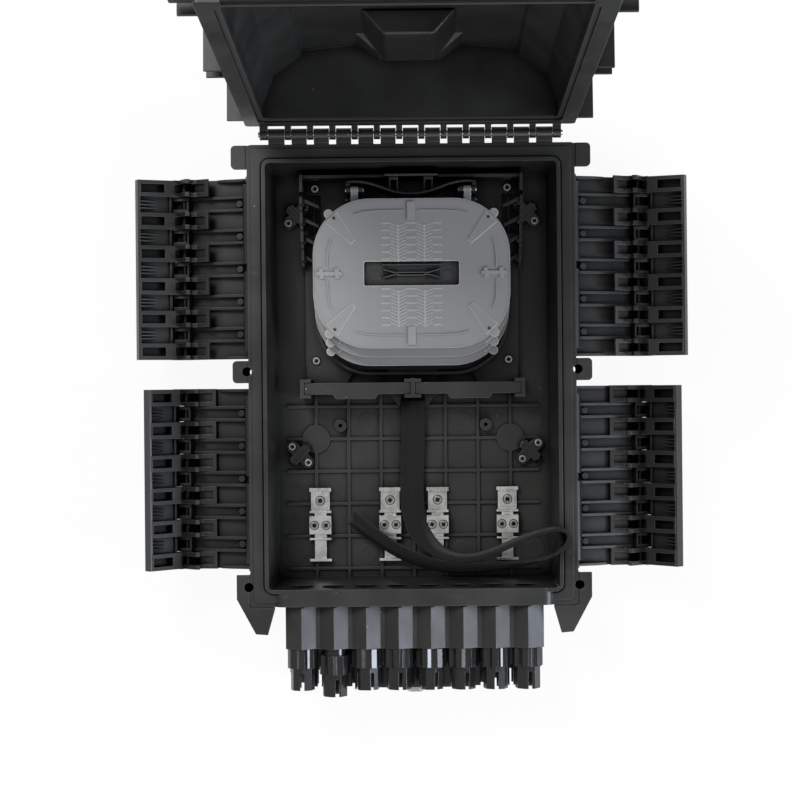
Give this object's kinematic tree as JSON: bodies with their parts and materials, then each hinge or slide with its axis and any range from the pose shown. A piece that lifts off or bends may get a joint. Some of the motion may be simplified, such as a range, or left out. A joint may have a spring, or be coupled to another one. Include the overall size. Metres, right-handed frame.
{
  "type": "fibre distribution box",
  "caption": "Outdoor fibre distribution box with a hinged domed lid, lever latches, stacked splice trays, cable clamps and a honeycomb of cable glands.",
  "frame": {"origin": "middle of the flat back face of the base", "axes": "+X to the right, +Y from the cable ports to the lid hinge, +Z out of the back, towards the lid"},
  "size_m": [0.392, 0.4835, 0.3963],
  "materials": {
    "black_plastic": "fine matte moulding",
    "gloss_black_plastic": "satin",
    "black_rubber": "soft matte",
    "bright_steel": "turned",
    "nickel_steel": "nickel plated",
    "clamp_steel": "bright stamped",
    "tray_plastic": "satin",
    "cover_plastic": "translucent",
    "black_webbing": "brushed loop pile"
  },
  "bodies": {
    "base": {"base_shell": "black_plastic", "tray_holder": "black_plastic", "left_retaining_bar": "black_plastic", "right_retaining_bar": "black_plastic", "tie_saddles": "gloss_black_plastic", "upper_gland_nuts": "gloss_black_plastic", "middle_gland_nuts": "gloss_black_plastic", "lower_gland_nuts": "gloss_black_plastic", "gland_bodies": "gloss_black_plastic", "oval_port_collar": "black_plastic", "oval_port_seal": "black_rubber", "oval_port_bolt": "bright_steel", "hinge_pin": "bright_steel", "latch_base_pins": "bright_steel", "tray_hinge_pins": "bright_steel", "holder_screws": "nickel_steel", "clamp_screws": "nickel_steel", "tie_saddle_screws": "nickel_steel", "clamp_plates": "clamp_steel", "clamp_blocks": "clamp_steel", "clamp_saddles": "clamp_steel", "tray_strap": "black_webbing"},
    "lid": {"lid_shell": "black_plastic", "lid_gasket": "black_rubber"},
    "left_upper_latch_arm_body": {"left_upper_latch_arm": "black_plastic", "left_upper_latch_pin": "bright_steel"},
    "left_upper_latch_lever_body": {"left_upper_latch_lever": "black_plastic"},
    "left_lower_latch_arm_body": {"left_lower_latch_arm": "black_plastic", "left_lower_latch_pin": "bright_steel"},
    "left_lower_latch_lever_body": {"left_lower_latch_lever": "black_plastic"},
    "right_upper_latch_arm_body": {"right_upper_latch_arm": "black_plastic", "right_upper_latch_pin": "bright_steel"},
    "right_upper_latch_lever_body": {"right_upper_latch_lever": "black_plastic"},
    "right_lower_latch_arm_body": {"right_lower_latch_arm": "black_plastic", "right_lower_latch_pin": "bright_steel"},
    "right_lower_latch_lever_body": {"right_lower_latch_lever": "black_plastic"},
    "tray_1": {"splice_tray_1": "tray_plastic", "tray_cover_1": "cover_plastic"},
    "tray_2": {"splice_tray_2": "tray_plastic", "tray_cover_2": "cover_plastic"},
    "tray_3": {"splice_tray_3": "tray_plastic", "tray_cover_3": "cover_plastic"}
  },
  "joints": [
    {"name": "lid_hinge", "type": "hinge", "parent": "base", "child": "lid", "pos_m": [0, 0.1694, 0.062], "axis": [-1, 0, 0], "range_deg": [-94, 0]},
    {"name": "left_upper_latch_swing", "type": "hinge", "parent": "base", "child": "left_upper_latch_arm_body", "pos_m": [-0.114, 0.0762, 0.056], "axis": [0, -1, 0], "range_deg": [-103.5, 0]},
    {"name": "left_upper_latch_release", "type": "hinge", "parent": "left_upper_latch_arm_body", "child": "left_upper_latch_lever_body", "pos_m": [-0.16235, 0.0762, 0.03205], "axis": [0, -1, 0], "range_deg": [-21.5, 68.5]},
    {"name": "left_lower_latch_swing", "type": "hinge", "parent": "base", "child": "left_lower_latch_arm_body", "pos_m": [-0.114, -0.073, 0.056], "axis": [0, -1, 0], "range_deg": [-103.5, 0]},
    {"name": "left_lower_latch_release", "type": "hinge", "parent": "left_lower_latch_arm_body", "child": "left_lower_latch_lever_body", "pos_m": [-0.16235, -0.073, 0.03205], "axis": [0, -1, 0], "range_deg": [0, 90]},
    {"name": "right_upper_latch_swing", "type": "hinge", "parent": "base", "child": "right_upper_latch_arm_body", "pos_m": [0.114, 0.0762, 0.056], "axis": [0, 1, 0], "range_deg": [-103.5, 0]},
    {"name": "right_upper_latch_release", "type": "hinge", "parent": "right_upper_latch_arm_body", "child": "right_upper_latch_lever_body", "pos_m": [0.16235, 0.0762, 0.03205], "axis": [0, 1, 0], "range_deg": [-21.5, 68.5]},
    {"name": "right_lower_latch_swing", "type": "hinge", "parent": "base", "child": "right_lower_latch_arm_body", "pos_m": [0.114, -0.073, 0.056], "axis": [0, 1, 0], "range_deg": [-103.5, 0]},
    {"name": "right_lower_latch_release", "type": "hinge", "parent": "right_lower_latch_arm_body", "child": "right_lower_latch_lever_body", "pos_m": [0.16235, -0.073, 0.03205], "axis": [0, 1, 0], "range_deg": [0, 90]},
    {"name": "tray_1_lift", "type": "hinge", "parent": "base", "child": "tray_1", "pos_m": [0, 0.131, 0.05], "axis": [-1, 0, 0], "range_deg": [0, 60]},
    {"name": "tray_2_lift", "type": "hinge", "parent": "base", "child": "tray_2", "pos_m": [0, 0.125, 0.038], "axis": [-1, 0, 0], "range_deg": [0, 40]},
    {"name": "tray_3_lift", "type": "hinge", "parent": "base", "child": "tray_3", "pos_m": [0, 0.119, 0.026], "axis": [-1, 0, 0], "range_deg": [0, 20]}
  ],
  "couplings": [
    {"joint": "tray_2_lift", "follows": "tray_1_lift", "ratio": 0.6666},
    {"joint": "tray_3_lift", "follows": "tray_1_lift", "ratio": 0.3333}
  ]
}
